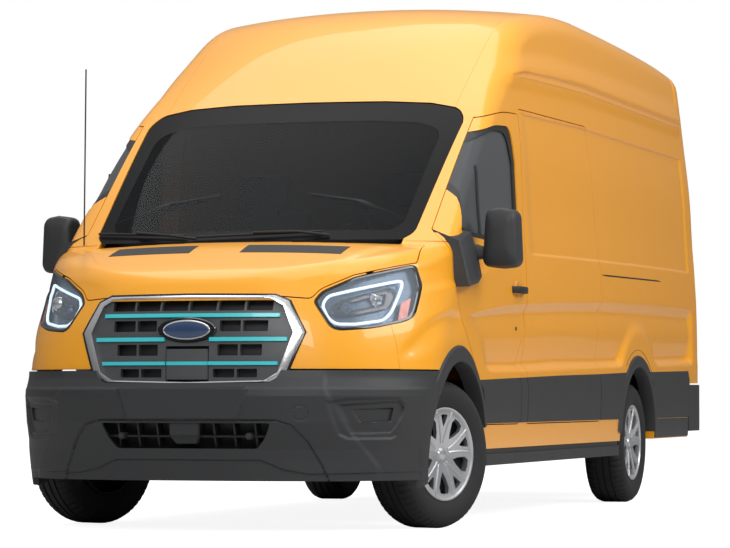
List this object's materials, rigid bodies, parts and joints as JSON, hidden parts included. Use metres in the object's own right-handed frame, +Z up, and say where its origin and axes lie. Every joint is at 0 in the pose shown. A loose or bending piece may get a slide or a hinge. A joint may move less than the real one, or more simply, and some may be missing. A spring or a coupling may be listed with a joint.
{
  "type": "cargo van",
  "caption": "High-roof, extended-length battery-electric panel van with a hollow cab and load space, hinged doors, bonnet and charge flap, steering and rolling wheels.",
  "frame": {"origin": "on the ground, under the middle of the overall length and width", "axes": "+Z up, +Y toward the rear, +X toward the driver's side (the vehicle's left)"},
  "size_m": [2.474, 6.704, 2.782],
  "materials": {
    "paint": "gloss",
    "dark_plastic": "grained",
    "black_plastic": "matte",
    "gloss_black": "gloss",
    "glass": "gloss",
    "lamp_clear": "gloss",
    "lamp_red": "gloss",
    "chassis": "satin",
    "cast_metal": "cast",
    "tyre": "matte",
    "rim": "satin",
    "seat_cloth": "woven"
  },
  "bodies": {
    "body": {"roof": "paint", "front_panel": "paint", "front_fender_left": "paint", "front_fender_right": "paint", "body_side_left": "paint", "body_side_right": "paint", "cargo_side_panel_left": "paint", "sliding_door_right": "paint", "windshield": "glass", "headlight_left": "lamp_clear", "headlight_right": "lamp_clear", "taillight_left": "lamp_red", "taillight_right": "lamp_red", "cowl": "black_plastic", "front_bumper": "dark_plastic", "rear_bumper": "dark_plastic", "grille": "gloss_black", "floor_pan": "chassis", "wheel_box_left": "chassis", "wheel_box_right": "chassis", "chassis_rails": "chassis", "door_pillar_left": "paint", "door_pillar_right": "paint", "battery_pack": "chassis", "drive_unit": "cast_metal", "rear_axle": "chassis", "front_subframe": "chassis", "dashboard": "black_plastic", "driver_seat": "seat_cloth", "passenger_seat": "seat_cloth", "side_step_left": "dark_plastic", "side_step_right": "dark_plastic", "antenna": "black_plastic"},
    "front_door_left": {"front_door_left": "paint", "door_glass_left": "glass", "mirror_left": "dark_plastic"},
    "front_door_right": {"front_door_right": "paint", "door_glass_right": "glass", "mirror_right": "dark_plastic"},
    "rear_door_left": {"rear_door_left": "paint"},
    "rear_door_right": {"rear_door_right": "paint"},
    "bonnet": {"bonnet": "paint"},
    "charge_flap": {"charge_flap": "gloss_black"},
    "knuckle_left": {"front_knuckle_left": "cast_metal"},
    "knuckle_right": {"front_knuckle_right": "cast_metal"},
    "wheel_front_left": {"tyre_front_left": "tyre", "rim_front_left": "rim"},
    "wheel_front_right": {"tyre_front_right": "tyre", "rim_front_right": "rim"},
    "wheel_rear_left": {"tyre_rear_left": "tyre", "rim_rear_left": "rim"},
    "wheel_rear_right": {"tyre_rear_right": "tyre", "rim_rear_right": "rim"},
    "steering_wheel": {"steering_wheel": "black_plastic"}
  },
  "joints": [
    {"name": "steer_left", "type": "hinge", "parent": "body", "child": "knuckle_left", "pos_m": [0.79, -2.329, 0.348], "axis": [0, 0, 1], "range_deg": [-14.5, 55.5]},
    {"name": "steer_right", "type": "hinge", "parent": "body", "child": "knuckle_right", "pos_m": [-0.79, -2.329, 0.348], "axis": [0, 0, 1], "range_deg": [-14.5, 55.5]},
    {"name": "spin_front_left", "type": "hinge", "parent": "knuckle_left", "child": "wheel_front_left", "pos_m": [0.86119, -2.35562, 0.348], "axis": [0.9367, -0.3502, 0], "continuous": true},
    {"name": "spin_front_right", "type": "hinge", "parent": "knuckle_right", "child": "wheel_front_right", "pos_m": [-0.86119, -2.30238, 0.348], "axis": [0.9367, -0.3502, 0], "continuous": true},
    {"name": "spin_rear_left", "type": "hinge", "parent": "body", "child": "wheel_rear_left", "pos_m": [0.8715, 1.421, 0.348], "axis": [1, 0, 0], "continuous": true},
    {"name": "spin_rear_right", "type": "hinge", "parent": "body", "child": "wheel_rear_right", "pos_m": [-0.8715, 1.421, 0.348], "axis": [1, 0, 0], "continuous": true},
    {"name": "open_front_door_left", "type": "hinge", "parent": "body", "child": "front_door_left", "pos_m": [1.014, -2.391, 0.9], "axis": [0, 0, -1], "range_deg": [0, 70]},
    {"name": "open_front_door_right", "type": "hinge", "parent": "body", "child": "front_door_right", "pos_m": [-1.014, -2.391, 0.9], "axis": [0, 0, 1], "range_deg": [0, 70]},
    {"name": "open_rear_door_left", "type": "hinge", "parent": "body", "child": "rear_door_left", "pos_m": [0.803, 3.314, 1.5], "axis": [0, 0, -1], "range_deg": [0, 180]},
    {"name": "open_rear_door_right", "type": "hinge", "parent": "body", "child": "rear_door_right", "pos_m": [-0.803, 3.314, 1.5], "axis": [0, 0, 1], "range_deg": [0, 180]},
    {"name": "lift_bonnet", "type": "hinge", "parent": "body", "child": "bonnet", "pos_m": [0, -2.463, 1.362], "axis": [-1, 0, 0], "range_deg": [0, 55]},
    {"name": "lift_charge_flap", "type": "hinge", "parent": "body", "child": "charge_flap", "pos_m": [0, -3.279, 0.836], "axis": [-1, 0, 0], "range_deg": [0, 85]},
    {"name": "turn_steering_wheel", "type": "hinge", "parent": "body", "child": "steering_wheel", "pos_m": [0.415, -1.784, 1.352], "axis": [0, 0.766, 0.6428], "range_deg": [-217.5, 832.5]}
  ],
  "couplings": [
    {"joint": "steer_right", "follows": "steer_left", "ratio": 1},
    {"joint": "turn_steering_wheel", "follows": "steer_left", "ratio": 15}
  ]
}
